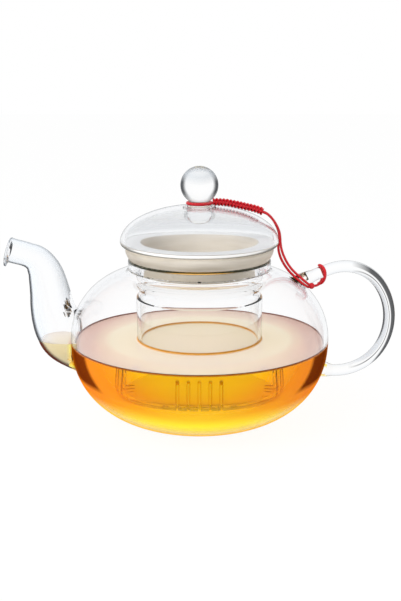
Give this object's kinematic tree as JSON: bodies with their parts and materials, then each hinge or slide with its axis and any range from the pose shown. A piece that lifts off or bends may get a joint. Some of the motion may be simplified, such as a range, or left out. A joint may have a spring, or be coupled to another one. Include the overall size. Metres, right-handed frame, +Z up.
{
  "type": "glass teapot with infuser",
  "caption": "Round glass teapot with a curved hollow spout, a bent rod handle, a slotted lift-out infuser, a domed lid with a ball knob and a red cord tether.",
  "frame": {"origin": "middle of the base on the pot's axis, at the table", "axes": "+Z up, -X towards the spout, +X towards the handle"},
  "size_m": [0.2023, 0.134, 0.1326],
  "materials": {
    "clear_glass": "clear, polished",
    "infuser_glass": "clear tube with a frosted collar",
    "lid_glass": "clear dome with a frosted flange and plug",
    "red_cord": "glossy woven"
  },
  "bodies": {
    "pot": {"bowl": "clear_glass", "neck": "clear_glass", "spout": "clear_glass", "handle": "clear_glass", "cord_front_lower": "red_cord", "cord_back_lower": "red_cord", "cord_knot": "red_cord", "cord_handle_loop": "red_cord"},
    "infuser": {"infuser": "infuser_glass", "collar": "infuser_glass"},
    "lid": {"lid": "lid_glass", "plug": "lid_glass", "knob": "clear_glass", "cord_neck_loop": "red_cord", "cord_braid": "red_cord", "cord_front_upper": "red_cord", "cord_back_upper": "red_cord"}
  },
  "joints": [
    {"name": "infuser_lift", "type": "slide", "parent": "pot", "child": "infuser", "axis": [0, 0, 1], "range_m": [0, 0.075], "deforming": ["cord_front_lower", "cord_back_lower"]},
    {"name": "lid_lift", "type": "slide", "parent": "infuser", "child": "lid", "axis": [0, 0, 1], "range_m": [0, 0.025], "deforming": ["cord_front_upper", "cord_back_upper"]}
  ]
}
